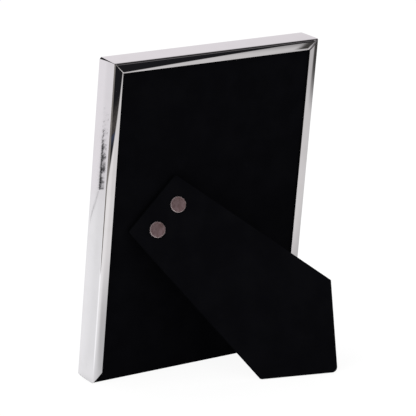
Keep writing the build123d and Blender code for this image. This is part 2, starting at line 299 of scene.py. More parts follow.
@dataclass(frozen=True)
class Velvet(Finish):
    """Short black pile with a brushed lie and a few specks of dust."""

    pile: Colour = (0.0026, 0.0026, 0.0033)
    brushed: Colour = (0.0040, 0.0040, 0.0050)
    dust: Colour = (0.045, 0.045, 0.05)
    pile_height: float = 0.12 * MM
    pile_strength: float = 0.7
    fibre_noise: Noise = (2600.0, 2.0, 0.7)
    lie_noise: Noise = (55.0, 3.0, 0.55)
    lie_rise: Span = (0.35, 0.7)
    speck_cells: float = 85.0  # to a metre
    speck_edge: Span = (0.016, 0.03)  # in cells, from a speck's middle
    speck_chance: Span = (0.8, 0.82)
    roughness: float = 0.95
    sheen: float = 0.002
    sheen_roughness: float = 0.45
    sheen_tint: Colour = (0.75, 0.8, 1.0)

    def draw(self, graph: Graph) -> Value:
        """Draws the nodes and returns the shader."""
        place = graph.coords()
        lie = graph.noise(place, *self.lie_noise)
        fibres = graph.noise(place, *self.fibre_noise)
        cells = graph.node("ShaderNodeTexVoronoi", None, {"Vector": place, "Scale": self.speck_cells})
        chance = graph.out(graph.node("ShaderNodeSeparateColor", None, {0: graph.out(cells, "Color")}))
        speck = graph.out(cells, "Distance").fade(*self.speck_edge) * chance.ease(*self.speck_chance)
        colour = graph.blend(lie.ease(*self.lie_rise) * fibres, self.pile, self.brushed)
        return graph.principled({
            "Base Color": graph.blend(speck, colour, self.dust),
            "Roughness": self.roughness,
            "Specular IOR Level": 0.0,
            "Sheen Weight": self.sheen,
            "Sheen Roughness": self.sheen_roughness,
            "Sheen Tint": rgba(self.sheen_tint),
            "Normal": graph.bump(fibres, self.pile_height, self.pile_strength),
        })


@dataclass(frozen=True)
class DullMetal(Finish):
    """Plated steel with a mottled surface that shows slight wear."""

    colour: Colour
    tarnish: Colour
    mottle: float  # patches to a metre
    least_roughness: float
    patch_octaves: Tuple[float, float] = (4.0, 0.6)
    patch_rise: Span = (0.35, 0.7)
    patch_roughness: float = 0.14
    grains: float = 5.0  # to a patch
    grain_octaves: Tuple[float, float] = (2.0, 0.6)
    grain_roughness: float = 0.06
    grain_height: float = 0.01 * MM
    grain_strength: float = 0.6

    def draw(self, graph: Graph) -> Value:
        """Draws the nodes and returns the shader."""
        place = graph.coords()
        patches = graph.noise(place, self.mottle, *self.patch_octaves)
        grain = graph.noise(place, self.mottle * self.grains, *self.grain_octaves)
        roughness = patches * self.patch_roughness + grain * self.grain_roughness + self.least_roughness
        return graph.principled({
            "Base Color": graph.blend(patches.ease(*self.patch_rise), self.colour, self.tarnish),
            "Metallic": 1.0,
            "Roughness": roughness,
            "Normal": graph.bump(grain, self.grain_height, self.grain_strength),
        })


@dataclass(frozen=True)
class Board(Finish):
    """Paper, card or pressed board with a fibre grain."""

    colour: Colour
    fibre: Colour
    grain: Triple = (900.0, 900.0, 900.0)  # waves to a metre
    least_roughness: float = 0.8
    fibre_roughness: float = 0.1
    fibre_noise: Noise = (1.0, 4.0, 0.65)
    fibre_rise: Span = (0.4, 0.75)
    cloud_noise: Noise = (45.0, 3.0, 0.5)
    cloud_share: float = 0.6
    least_cloud: float = 0.5
    specular: float = 0.25
    grain_height: float = 0.03 * MM
    grain_strength: float = 0.5

    def draw(self, graph: Graph) -> Value:
        """Draws the nodes and returns the shader."""
        fibres = graph.noise(graph.coords(self.grain), *self.fibre_noise)
        cloud = graph.noise(graph.coords(), *self.cloud_noise)
        shown = fibres.ease(*self.fibre_rise) * (cloud * self.cloud_share + self.least_cloud)
        return graph.principled({
            "Base Color": graph.blend(shown, self.colour, self.fibre),
            "Roughness": fibres * self.fibre_roughness + self.least_roughness,
            "Specular IOR Level": self.specular,
            "Normal": graph.bump(fibres, self.grain_height, self.grain_strength),
        })


@dataclass(frozen=True)
class ClearGlass(Finish):
    """Float glass that lets the studio light through to the print."""

    tint: Colour = (0.985, 0.992, 0.986)
    refraction: float = 1.5
    smear_noise: Noise = (30.0, 3.0, 0.5)
    smear_rise: Span = (0.45, 0.8)
    smear_roughness: float = 0.03

    def draw(self, graph: Graph) -> Value:
        """Draws the nodes and returns the shader."""
        smear = graph.noise(graph.coords(), *self.smear_noise)
        pane = graph.principled({
            "Base Color": rgba(self.tint),
            "Roughness": smear.ease(*self.smear_rise) * self.smear_roughness,
            "Transmission Weight": 1.0,
            "IOR": self.refraction,
        })
        clear = graph.out(graph.node("ShaderNodeBsdfTransparent", None, {"Color": rgba(self.tint)}))
        shadow = graph.out(graph.node("ShaderNodeLightPath"), "Is Shadow Ray")
        return graph.out(graph.node("ShaderNodeMixShader", None, {0: shadow, 1: pane, 2: clear}))


# Places on the standing frame
class Places:
    """The upright frame's axes and the leg's hinge plane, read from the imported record."""

    UNDERSIDE_DEPTH = 11.8 * MM  # from the back plane to the middle of the underside

    def __init__(self, record: Dict[str, Any]) -> None:
        """Reads the record.

        Args:
            record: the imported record.
        """
        underside = record["mounts"][0]
        hinge = next(j for j in record["behaviour"]["joints"] if j["type"] == "hinge")
        up = -Vector(underside["axis"]).normalized()
        across = Vector((1, 0, 0))
        self.back = up.cross(across)
        corner = Vector(underside["pos_m"]) + self.back * self.UNDERSIDE_DEPTH
        self.upright = self.plane(corner, across, self.back, up)
        self.lean = acos(up.z)
        pin = Vector(hinge["pos_m"])
        along_pin = Vector(hinge["axis"]).normalized()
        opening = Matrix.Rotation(-radians(hinge["range_deg"][1]), 3, along_pin)
        away = opening @ self.back
        self.open_leg = self.plane(pin, along_pin.cross(away), along_pin, away)

    @staticmethod
    def plane(origin: Vector, x: Vector, y: Vector, z: Vector) -> Matrix:
        """The matrix of a frame given by its origin and axes."""
        placed = Matrix((x, y, z)).transposed().to_4x4()
        placed.translation = origin
        return placed


# Mesh helpers
def bevel(
    bm: bmesh.types.BMesh, geom: Iterable[Any], offset: float, steps: int, corners: bool = False
) -> None:
    """Rounds edges, or the vertices of a flat outline.

    Args:
        bm: the mesh.
        geom: the edges or vertices.
        offset: the width of the rounding, in metres.
        steps: the flat strips that it is made of.
        corners: whether vertices are rounded.
    """
    bmesh.ops.bevel(
        bm,
        geom=list(geom),
        offset=offset,
        offset_type="OFFSET",
        affect="VERTICES" if corners else "EDGES",
        segments=steps,
        profile=ROUND,
        material=-1,
        clamp_overlap=True,
    )


def outline_face(
    bm: bmesh.types.BMesh, points: Sequence[Sequence[float]], height: float
) -> bmesh.types.BMFace:
    """A flat face through points given in millimetres, at a height in millimetres."""
    verts = [bm.verts.new((x * MM, y * MM, height * MM)) for x, y in points]
    return bm.faces.new(verts)


def raise_face(bm: bmesh.types.BMesh, face: bmesh.types.BMFace, shift: Sequence[float]) -> None:
    """Extrudes a face by a shift in metres and closes the solid."""
    grown = bmesh.ops.extrude_face_region(bm, geom=[face])["geom"]
    moved = [item for item in grown if isinstance(item, bmesh.types.BMVert)]
    bmesh.ops.translate(bm, verts=moved, vec=shift)
    bmesh.ops.recalc_face_normals(bm, faces=bm.faces)


def even_light(piece: bpy.types.Object) -> None:
    """Keeps flat faces flat beside their rounded edges."""
    modifier = piece.modifiers.new("even_light", "WEIGHTED_NORMAL")
    modifier.keep_sharp = True
    modifier.weight = FLAT_WEIGHT


@dataclass
class Piece:
    """A finished mesh and what it stands for."""

    name: str
    body: str
    slot: str
    nodes: Tuple[str, ...]
    finish: Finish
    cut_finish: Optional[Finish] = None

    def make(self, bm: bmesh.types.BMesh, place: Matrix = Matrix.Identity(4)) -> bpy.types.Object:
        """Turns a bmesh into the piece.

        Args:
            bm: the shape, in metres.
            place: the frame that the shape was modelled in.

        Returns:
            The object, riding on its body.
        """
        bm.transform(place)
        mesh = bpy.data.meshes.new(self.name)
        bm.to_mesh(mesh)
        bm.free()
        mesh.materials.append(self.finish.material())
        if self.cut_finish:
            mesh.materials.append(self.cut_finish.material())
        mesh.shade_smooth()
        mesh.set_sharp_from_angle(angle=SHARP_ANGLE)
        made = bpy.data.objects.new(self.name, mesh)
        bpy.context.scene.collection.objects.link(made)
        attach(made, self.body)
        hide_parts(*self.nodes)
        LOG.info("%s rides on %s", self.name, self.body)
        return made


# Rails
class Side(Enum):
    """The four rails, as seen from the picture's front."""

    TOP = "top_rail"
    BOTTOM = "bottom_rail"
    LEFT = "left_rail"
    RIGHT = "right_rail"


@dataclass
class Rails:
    """The polished rails, folded from sheet and mitred."""

    places: Places
    # near-black finish of the rails' cut ends: painted shade of the dark seams at the mitres
    seam_shade: Finish
    width: float = 160.0
    height: float = 211.0
    depth: float = 17.2
    wall: float = 0.9
    front_face: float = 8.0
    back_lip: float = 6.6
    slot_depth: float = 6.4
    fold_radius: float = 0.65
    top_fold_radius: float = 1.3
    rim_radius: float = 0.12
    lip_rim: float = 0.6
    rim_steps: int = 4
    fold_steps: int = 8
    mitre_gap: float = 0.12
    mitre_ease: float = 0.2
    mitre_steps: int = 2
    light_filing: Tuple[float, float] = (0.6, 0.36)  # width beside the mitre, and drop
    wide_filing: Tuple[float, float] = (2.0, 0.64)
    lip_raise: float = 0.3
    lip_drop: float = 0.48
    face_drop: float = 0.12
    crown_cuts: int = 7
    seam: Tuple[Tuple[float, float], ...] = (
        (0.0, 0.05), (3.0, 0.1), (6.0, 0.25), (9.0, 0.4), (12.0, 0.6), (15.0, 0.9), (17.2, 1.1)
    )  # depth below the back plane, and how far the outer wall stops short there
    waves_along: float = 14.0  # of the polishing streaks, to a metre
    waves_across: float = 500.0

    def section_points(self, has_lip: bool, fold: float) -> List[Tuple[float, float, float]]:
        """The folded section's corners.

        Args:
            has_lip: whether the sheet folds over the back.
            fold: the radius of that fold, in millimetres.

        Returns:
            Each corner's distance inwards, its depth below the back plane, and its radius.
        """
        glass = self.depth - self.wall
        points = [(0, self.slot_depth, 0), (self.wall, self.slot_depth, 0)]
        if has_lip:
            points = [
                (0, 0, fold),
                (self.back_lip, 0, self.rim_radius),
                (self.back_lip, self.lip_rim, self.rim_radius),
                (self.wall, self.wall, 0),
            ]
        points += [
            (self.wall, glass, 0),
            (self.front_face, glass, self.rim_radius),
            (self.front_face, self.depth, self.rim_radius),
            (0, self.depth, self.fold_radius),
        ]
        return points

    def section(
        self, bm: bmesh.types.BMesh, has_lip: bool, fold: float, start: float
    ) -> bmesh.types.BMFace:
        """Draws the section with rounded folds and slightly crowned faces.

        Args:
            bm: the mesh.
            has_lip: whether the sheet folds over the back.
            fold: the radius of that fold, in millimetres.
            start: the height of the section, in millimetres.

        Returns:
            The section's face.
        """
        points = self.section_points(has_lip, fold)
        face = outline_face(bm, [point[:2] for point in points], start)
        corners = list(face.verts)
        for vert, (_, _, radius) in zip(corners, points):
            if radius:
                steps = self.rim_steps if radius == self.rim_radius else self.fold_steps
                bevel(bm, [vert], radius * MM, steps, corners=True)
        for axis, level in ((1, 0.0), (1, self.depth), (0, 0.0)):
            flat = [e for e in bm.edges if all(abs(v.co[axis] - level * MM) < WELD for v in e.verts)]
            if flat:
                longest = max(flat, key=lambda e: e.calc_length())
                bmesh.ops.subdivide_edges(bm, edges=[longest], cuts=self.crown_cuts)
        for vert in bm.verts:
            self.crown(vert.co, fold)
        return bm.faces[:][0]

    def crown(self, point: Vector, fold: float) -> None:
        """Raises the lip's rim, and lets the lip and the front face fall away towards their folds."""
        across, below = point.x / MM, point.y / MM
        if below <= fold + WELD / MM and across <= self.back_lip + WELD / MM:
            fall = self.lip_drop * ((self.back_lip - across) / self.back_lip) ** 2
            point.y += (fall - self.lip_raise) * MM
        elif below >= self.depth - self.fold_radius - WELD / MM and across < self.front_face:
            point.y -= self.face_drop * MM * ((self.front_face - across) / self.front_face) ** 2

    def short_of_corner(self, below: float) -> float:
        """How far the outer wall stops short of the corner, at a depth below the back plane."""
        for (start, low), (stop, high) in zip(self.seam, self.seam[1:]):
            if below <= stop:
                return low + (high - low) * (below - start) / (stop - start)
        return self.seam[-1][1]

    def rail(
        self, length: float, has_lip: bool, fold: float, filed: Dict[int, Tuple[float, float]]
    ) -> bmesh.types.BMesh:
        """A rail along Z, with X inwards and Y from the back plane to the front.

        Args:
            length: its length outside, in millimetres.
            has_lip: whether it has a back lip.
            fold: the radius of the fold to that lip, in millimetres.
            filed: the filing's width and drop, by end, -1 or 1, for ends where the lip is filed.

        Returns:
            The rail, mitred at both ends.
        """
        bm = bmesh.new()
        face = self.section(bm, has_lip, fold, -length / 2)
        raise_face(bm, face, (0, 0, length * MM))
        for end in (-1, 1):
            beyond = Vector((1, 0, end)).normalized()
            corner = Vector((0, 0, end * length / 2 * MM)) - beyond * self.mitre_gap / 2 * MM
            width, drop = filed.get(end, (0.0, 0.0))
            if width:
                self.cut(bm, corner - beyond * width * MM, beyond, False)
            rim = self.cut(bm, corner, beyond, True)
            for point in {vert for edge in rim for vert in edge.verts}:
                across, below = point.co.x / MM, point.co.y / MM
                if across < self.fold_radius:
                    point.co.z -= end * self.short_of_corner(below) * MM
                if below < self.lip_drop - self.lip_raise:
                    point.co.y += drop * MM
            # The cut faces take the end finish, which on most rails is near-black: painted shade of the
            # seam.
            for face in bmesh.ops.contextual_create(bm, geom=rim)["faces"]:
                face.material_index = 1
            eased = [edge for edge in rim if edge.is_valid]
            if width:  # a filed lip is too thin to be eased
                lip = self.wall * MM + WELD
                eased = [edge for edge in eased if any(vert.co.y > lip for vert in edge.verts)]
            bevel(bm, eased, self.mitre_ease * MM, self.mitre_steps)
        bmesh.ops.recalc_face_normals(bm, faces=bm.faces)
        return bm

    @staticmethod
    def cut(bm: bmesh.types.BMesh, place: Vector, beyond: Vector, away: bool) -> List[bmesh.types.BMEdge]:
        """Cuts across a rail.

        Args:
            bm: the rail.
            place: a point of the cut.
            beyond: the cut's normal.
            away: whether what lies beyond is taken away.

        Returns:
            The edges of the cut.
        """
        whole = bm.verts[:] + bm.edges[:] + bm.faces[:]
        cut = bmesh.ops.bisect_plane(bm, geom=whole, plane_co=place, plane_no=beyond, clear_outer=away)
        return [item for item in cut["geom_cut"] if isinstance(item, bmesh.types.BMEdge)]

    def build(self) -> None:
        """Builds the four rails."""
        turn = (self.places.lean, 0, 0)
        along, across = self.waves_along, self.waves_across
        lying = PolishedMetal("polished_rail_lying", (along, across, across), turn)
        upright = PolishedMetal("polished_rail_upright", (across, across, along), turn)
        half_width, half_height = self.width / 2, self.height / 2
        # The top, bottom and right rails' cut ends are near-black, a painted shade of the seams; the left
        # rail's ends stay polished.
        rows = {
            Side.TOP: (
                (0, 0, self.height), (0, 0, -1), self.width, lying, self.seam_shade,
                {1: self.wide_filing, -1: self.light_filing},
            ),
            Side.BOTTOM: ((0, 0, 0), (0, 0, 1), self.width, lying, self.seam_shade, {}),
            Side.LEFT: (
                (-half_width, 0, half_height), (1, 0, 0), self.height, upright, upright,
                {-1: self.light_filing},
            ),
            Side.RIGHT: (
                (half_width, 0, half_height), (-1, 0, 0), self.height, upright, self.seam_shade, {},
            ),
        }
        to_front = Vector((0, -1, 0))
        for side, (middle, inwards, length, finish, ends, filed) in rows.items():
            fold = self.top_fold_radius if side is Side.TOP else self.fold_radius
            bm = self.rail(length, side is not Side.BOTTOM, fold, filed)
            inwards = Vector(inwards)
            local = Places.plane(Vector(middle) * MM, inwards, to_front, inwards.cross(to_front))
            piece = Piece(f"polished_{side.value}", "frame", "polished_rail", (side.value,), finish, ends)
            even_light(piece.make(bm, self.places.upright @ local))


# Velvet
@dataclass
class BackPanel:
    """The velvet stretched over the board that slides into the rails."""

    places: Places
    finish: Finish
    half_width: float = 78.7
    bottom: float = 0.05
    top: float = 209.7
    back: float = 1.05
    front: float = 6.25
    turn_in: float = 12.0
    edge_radius: float = 0.5
    edge_steps: int = 4
    cloth: float = 0.5

    def build(self) -> None:
        """Builds the cover, with its edges turned in over the front."""
        bm = bmesh.new()
        points = [
            (-self.half_width, self.bottom),
            (self.half_width, self.bottom),
            (self.half_width, self.top),
            (-self.half_width, self.top),
        ]
        face = outline_face(bm, points, self.back)
        raise_face(bm, face, (0, 0, (self.front - self.back) * MM))
        open_window(bm, self.front, self.turn_in)
        bevel(bm, outer_edges(bm), self.edge_radius * MM, self.edge_steps)
        local = Places.plane(Vector(), Vector((1, 0, 0)), Vector((0, 0, 1)), Vector((0, -1, 0)))
        piece = Piece("board_velvet_cover", "back_panel", "black_velvet", ("board_velvet",), self.finish)
        cover = piece.make(bm, self.places.upright @ local)
        stretch(cover, self.cloth)
        wrap = 2 * (self.front - self.back + self.turn_in)
        flat = ((2 * self.half_width + wrap) * MM, (self.top - self.bottom + wrap) * MM)


@dataclass
class Leg:
    """The velvet stretched over the leg, and the two rivets that hold its hinge."""

    places: Places
    velvet: Finish
    pewter: Finish
    # lighter finish of the rivets' rims: a painted highlight
    rim_highlight_pewter: Finish
    top: float = -6.38
    top_half_width: float = 23.6
    upper: Tuple[float, float] = (116.35, 40.1)
    point: Tuple[float, float] = (158.25, -1.8)
    lower: Tuple[float, float] = (121.48, -38.0)
    underside: float = 1.6
    back: float = 4.8
    turn_in: float = 7.0
    edge_radius: float = 0.5
    edge_steps: int = 4
    cloth: float = 0.5
    top_radius: float = 1.0
    shoulder_radius: float = 0.8
    point_radius: float = 3.5
    corner_steps: int = 6
    rivet_x: float = 6.82
    rivet_spacing: float = 20.8
    head_radius: float = 5.3
    head_height: float = 1.1
    head_shares: Tuple[Tuple[float, float], ...] = (
        (1.0, 0.0), (1.0, 0.35), (0.93, 0.92), (0.88, 1.0), (0.80, 0.88), (0.0, 0.94)
    )  # of the head's radius and height, from its seat over its rim to its middle
    highlight_rim_share: float = 0.9  # of the head's radius, where its lighter rim, a painted highlight, begins
    shank_radius: float = 1.5
    tail_radius: float = 2.4
    tail_bottom: float = 0.0
    tail_height: float = 0.5
    rivet_sides: int = 64
    rivet_ease: float = 0.1
    rivet_steps: int = 2

    def corners(self) -> List[Tuple[float, float, float]]:
        """The outline's corners on the hinge plane, each with its radius."""
        return [
            (self.top, -self.top_half_width, self.top_radius),
            (*self.lower, self.shoulder_radius),
            (*self.point, self.point_radius),
            (*self.upper, self.shoulder_radius),
            (self.top, self.top_half_width, self.top_radius),
        ]

    def cover(self) -> None:
        """Builds the velvet, with its edges turned in over the underside."""
        bm = bmesh.new()
        corners = self.corners()
        face = outline_face(bm, [corner[:2] for corner in corners], self.back)
        raise_face(bm, face, (0, 0, (self.underside - self.back) * MM))
        open_window(bm, self.underside, self.turn_in)
        for x, y, radius in corners:
            spot = Vector((x, y, 0)) * MM
            standing = [
                e for e in bm.edges
                if all((v.co.xy - spot.xy).length < WELD for v in e.verts)
            ]
            sides = [face.normal.copy() for face in standing[0].link_faces]
            half_turn = (pi - sides[0].angle(sides[1])) / 2
            bevel(bm, standing, radius / tan(half_turn) * MM, self.corner_steps)
        bevel(bm, outer_edges(bm), self.edge_radius * MM, self.edge_steps)
        piece = Piece("leg_velvet_cover", "leg", "black_velvet", ("leg_velvet",), self.velvet)
        cover = piece.make(bm, self.places.open_leg)
        stretch(cover, self.cloth)
        wrap = self.back - self.underside + self.turn_in
        outline = [Vector(corner[:2]) for corner in corners]
        pairs = list(zip(outline, outline[1:] + outline[:1]))
        inside = abs(sum(a.x * b.y - a.y * b.x for a, b in pairs)) / 2
        round_it = sum((b - a).length for a, b in pairs)
        width = self.upper[1] - self.lower[1] + 2 * wrap
        length = self.point[0] - self.top + 2 * wrap
        area = (inside + round_it * wrap) * MM * MM
        width * MM
        length * MM

    def rivets(self) -> None:
        """Builds the two rivets, with flat heads inside a raised rim whose outer faces are painted lighter
        as a highlight.
        """
        bm = bmesh.new()
        tail_top = self.tail_bottom + self.tail_height
        profile = [
            (0, self.tail_bottom),
            (self.tail_radius, self.tail_bottom),
            (self.tail_radius, tail_top),
            (self.shank_radius, tail_top),
            (self.shank_radius, self.back),
        ]
        profile += [(r * self.head_radius, self.back + z * self.head_height) for r, z in self.head_shares]
        verts = [bm.verts.new((r * MM, 0, z * MM)) for r, z in profile]
        edges = [bm.edges.new(pair) for pair in zip(verts, verts[1:])]
        bmesh.ops.spin(
            bm,
            geom=verts + edges,
            cent=(0, 0, 0),
            axis=(0, 0, 1),
            angle=2 * pi,
            steps=self.rivet_sides,
            use_merge=True,
        )
        bmesh.ops.remove_doubles(bm, verts=bm.verts, dist=WELD)
        bmesh.ops.recalc_face_normals(bm, faces=bm.faces)
        eased = [e for e in bm.edges if e.calc_face_angle(0) > SHARP_ANGLE / 2]
        bevel(bm, eased, self.rivet_ease * MM, self.rivet_steps)
        highlight_rim_start = self.head_radius * self.highlight_rim_share * MM
        # The rim's outer faces take the lighter finish: a painted highlight.
        for face in bm.faces:
            middle = face.calc_center_median()
            if middle.xy.length > highlight_rim_start and middle.z > self.back * MM:
                face.material_index = 1
        first = bm.verts[:] + bm.edges[:] + bm.faces[:]
        place = Vector((self.rivet_x, -self.rivet_spacing / 2, 0)) * MM
        bmesh.ops.translate(bm, verts=bm.verts, vec=place)
        second = bmesh.ops.duplicate(bm, geom=first)["geom"]
        moved = [item for item in second if isinstance(item, bmesh.types.BMVert)]
        bmesh.ops.translate(bm, verts=moved, vec=(0, self.rivet_spacing * MM, 0))
        piece = Piece(
            "leg_rivets_pewter", "leg", "pewter_rivet", ("leg_rivets",), self.pewter, self.rim_highlight_pewter
        )
        piece.make(bm, self.places.open_leg)

    def build(self) -> None:
        """Builds the leg's cover and rivets."""
        self.cover()
        self.rivets()


def open_window(bm: bmesh.types.BMesh, level: float, turn_in: float) -> None:
    """Cuts the middle out of the face at a level, so that cloth is turned in round it."""
    face = next(f for f in bm.faces if all(abs(v.co.z - level * MM) < WELD for v in f.verts))
    bmesh.ops.inset_region(bm, faces=[face], thickness=turn_in * MM, use_even_offset=True)
    bmesh.ops.delete(bm, geom=[face], context="FACES")


def outer_edges(bm: bmesh.types.BMesh) -> List[bmesh.types.BMEdge]:
    """The folded edges of a cover, without those that a rounded corner is made of."""
    bm.normal_update()
    return [e for e in bm.edges if len(e.link_faces) == 2 and e.calc_face_angle() > SHARP_ANGLE]


def stretch(cover: bpy.types.Object, cloth: float) -> None:
    """Gives a cover the thickness of its cloth."""
    modifier = cover.modifiers.new("cloth", "SOLIDIFY")
    modifier.thickness = cloth * MM
    modifier.offset = -1
    even_light(cover)


# Pieces that keep the shape of their solids
@dataclass
class Fittings:
    """Rigid pieces that keep their solids' shape and get smooth meshes or better finishes."""

    steel: Finish
    bracket: Finish
    glass: Finish
    ease_steps: int = 2
    leaf_ease: float = 0.05
    rivet_ease: float = 0.08
    bracket_ease: float = 0.1
    glass_ease: float = 0.25
    glass_play: float = 0.1

    def smooth_copy(
        self, node: str, body: str, slot: str, finish: Finish, ease: float, play: float = 0.0
    ) -> None:
        """Replaces a node by a welded copy with eased edges.

        Args:
            node: the node.
            body: what it rides on.
            slot: its slot in the record.
            finish: its finish.
            ease: the width of the eased edges, in millimetres.
            play: how far its corners draw in from what it touches, in millimetres.
        """
        bm = bmesh.new()
        bm.from_mesh(frame["nodes"][node].data)
        bmesh.ops.remove_doubles(bm, verts=bm.verts, dist=WELD)
        bm.normal_update()
        for vert in bm.verts:
            vert.co -= vert.normal * play * MM
        made = Piece(f"{node}_finished", body, slot, (node,), finish).make(bm)
        modifier = made.modifiers.new("eased_edges", "BEVEL")
        modifier.width = ease * MM
        modifier.segments = self.ease_steps
        modifier.limit_method = "ANGLE"
        modifier.angle_limit = SHARP_ANGLE
        even_light(made)

    def build(self) -> None:
        """Builds the hinge, the brackets and the glass."""
        for node in ("hinge_board_leaf", "hinge_pin", "board_rivet_washers"):
            self.smooth_copy(node, "back_panel", "hinge_steel", self.steel, self.leaf_ease)
        self.smooth_copy("board_rivets", "back_panel", "hinge_steel", self.steel, self.rivet_ease)
        for node in ("hinge_leg_leaf", "leg_rivet_washers"):
            self.smooth_copy(node, "leg", "hinge_steel", self.steel, self.leaf_ease)
        for end in ("bottom_left", "bottom_right", "top_left", "top_right"):
            bracket = f"corner_bracket_{end}"
            self.smooth_copy(bracket, "frame", "bracket_steel", self.bracket, self.bracket_ease)
        self.smooth_copy(
            "glass_pane", "frame", "clear_glass", self.glass, self.glass_ease, self.glass_play
        )


def dress(finishes: Dict[str, Finish]) -> None:
    """Gives nodes that keep their own mesh a finish.

    Args:
        finishes: the finish of each node.
    """
    for node, finish in finishes.items():
        solid = frame["nodes"][node]
        for slot in solid.material_slots:
            slot.material = finish.material()
        LOG.info("%s keeps its solid, finished as %s", node, finish.name)


# Studio
TOWARDS = (0.6036, 0.7973)  # along the table, to the camera
ASIDE = (-0.7973, 0.6036)  # along the table, to the camera's right
DARK = (0.012, 0.012, 0.014)


def table_axes(x: Value, y: Value) -> Tuple[Value, Value]:
    """How far a place or a direction reaches towards the camera, and to the camera's right."""
    return x * TOWARDS[0] + y * TOWARDS[1], x * ASIDE[0] + y * ASIDE[1]


def rays(graph: Graph) -> Tuple[Value, Value]:
    """How a surface is being seen.

    Args:
        graph: the tree that asks.

    Returns:
        Seen directly or through glass, and mirrored.
    """
    path = graph.node("ShaderNodeLightPath")
    straight = graph.out(path, "Is Camera Ray").highest(graph.out(path, "Is Transmission Ray"))
    return straight, graph.out(path, "Is Glossy Ray") * (1 - straight)


@dataclass(frozen=True)
class MirroredTable:
    """The floor as the rails mirror it: a white table, and a dark room beyond its near edge.

    Spans and edges are in metres on the floor. Shades and gains are shares of the light there.
    """

    # Near edge, light and tint
    front: float = 0.175  # where the table ends, towards the camera
    edge_blur: float = 0.012
    level: float = 0.785
    level_gain: float = 0.043
    level_rise: Span = (-0.7, -0.3)
    far_table: Colour = (1.125, 1.1, 1.13)
    cool_table: Colour = (1.145, 1.15, 1.16)
    cool_rise: Span = (-0.75, -0.5)
    warm_table: Colour = (1.15, 1.13, 1.12)
    warm_rise: Span = (-0.1, 0.15)

    # Beside the table
    beside_table: Colour = (0.06, 0.058, 0.055)
    beside_far: Span = (-0.045, -0.012)
    beside_right: Span = (0.45, 0.59)
    corner_slope: float = 3.9
    corner_edge: Span = (0.30, 0.335)
    corner_right: Span = (0.6, 0.63)

    # Broad shades, and where more light falls
    left_shade: float = 0.17
    left_rise: Span = (-0.2, 0.12)
    middle_shade: float = 0.14
    middle_rise: Span = (0.12, 0.5)
    right_shade: float = 0.3
    right_rise: Span = (0.6, 0.95)
    far_shade: float = 0.14
    far_rise: Span = (0.46, 0.56)
    far_stop: Span = (0.04, 0.1)
    shelter_shade: float = 0.355
    shelter_slope: float = 0.445
    shelter_edge: Span = (0.058, 0.07)
    shelter_start: Span = (-0.06, -0.03)
    shelter_stop: Span = (0.02, 0.14)
    sun_gain: float = 0.15
    sun_slope: float = 0.6
    sun_edge: Span = (0.062, 0.09)
    sun_near: Span = (0.02, 0.05)
    bright_gain: float = 0.2
    bright_edge: Span = (0.09, 0.12)
    bright_near: Span = (0.03, 0.07)

    # Painted reflections of slanting dark things: a broad band, a streak of flecks and a thin line
    slant: float = 0.311
    band_shade: float = 0.09
    band_edge: Span = (0.0405, 0.047)
    band_end: Span = (-0.16, -0.1)
    streak_start: Span = (0.0443, 0.0447)
    streak_stop: Span = (0.0487, 0.0493)
    streak_paler: Span = (0.0462, 0.0472)
    paler_share: float = 0.45
    streak_fade: Span = (-1.08, -0.72)
    streak_end: Span = (-0.657, -0.653)
    streak_rim: Span = (0.0, 0.05)
    fleck_scale: Triple = (800.0, 40.0, 1.0)
    fleck_turn: Triple = (0.0, 0.0, -0.686)
    fleck_noise: Noise = (1.0, 2.0, 0.6)
    fleck_share: float = 0.38
    fleck_rise: Span = (0.6, 0.76)
    line_slope: float = 0.0456
    line_start: Span = (0.0142, 0.0149)
    line_stop: Span = (0.0149, 0.0156)
    line_fade_in: Span = (-0.657, -0.645)
    line_fade_out: Span = (-0.55, -0.5)
    line_shade: float = 0.5

    # Room beyond the near edge
    before_camera: Colour = (0.235, 0.22, 0.205)
    before_slope: float = 1.17
    before_edge: Span = (-0.04, -0.01)
    room_slope: float = 1.1
    brown_shade: Colour = (0.1, 0.09, 0.083)
    brown_start: Span = (0.472, 0.478)
    brown_stop: Span = (0.5, 0.57)
    brown_noise: Noise = (220.0, 2.0, 0.6)
    brown_rise: Span = (0.35, 0.6)
    blue_shade: Colour = (0.046, 0.056, 0.09)
    blue_start: Span = (0.436, 0.474)
    blue_stop: Span = (0.472, 0.476)

    def shaded(self, x: Value, y: Value) -> Value:
        """How much light the broad shades leave on the table.

        Args:
            x: the place along the frame.
            y: the place away from the picture.

        Returns:
            The share of light.
        """
        towards, aside = table_axes(x, y)
        fading = aside.ease(*self.left_rise) * self.left_shade
        fading = fading + aside.ease(*self.middle_rise) * self.middle_shade
        fading = fading + aside.ease(*self.right_rise) * self.right_shade
        fading = fading + aside.ease(*self.far_rise) * towards.fade(*self.far_stop) * self.far_shade
        sheltered = (x + y * self.shelter_slope).fade(*self.shelter_edge)
        sheltered = sheltered * y.band(self.shelter_start, self.shelter_stop) * self.shelter_shade
        sunlit = (x + y * self.sun_slope).ease(*self.sun_edge) * towards.ease(*self.sun_near) * self.sun_gain
        bright = x.ease(*self.bright_edge) * towards.ease(*self.bright_near) * self.bright_gain
        across = towards - aside * self.slant
        band = across.ease(*self.band_edge) * aside.fade(*self.band_end) * self.band_shade
        return (1 - fading) * (1 - sheltered) * (1 - band) * (1 + (sunlit + bright))

    def streak(self, graph: Graph, across: Value, aside: Value) -> Value:
        """A painted reflection of a slanting dark thing: a row of dark flecks, paler on its near side.

        Args:
            graph: the floor's tree.
            across: the place across the row.
            aside: the place to the camera's right.

        Returns:
            The row, from 0 to 1.
        """
        row = across.ease(*self.streak_start) * (1 - across.ease(*self.streak_paler) * self.paler_share)
        row = row * across.fade(*self.streak_stop) * aside.band(self.streak_fade, self.streak_end)
        flecks = graph.noise(graph.coords(self.fleck_scale, self.fleck_turn), *self.fleck_noise)
        return (flecks + row * self.fleck_share).ease(*self.fleck_rise) * row.ease(*self.streak_rim)

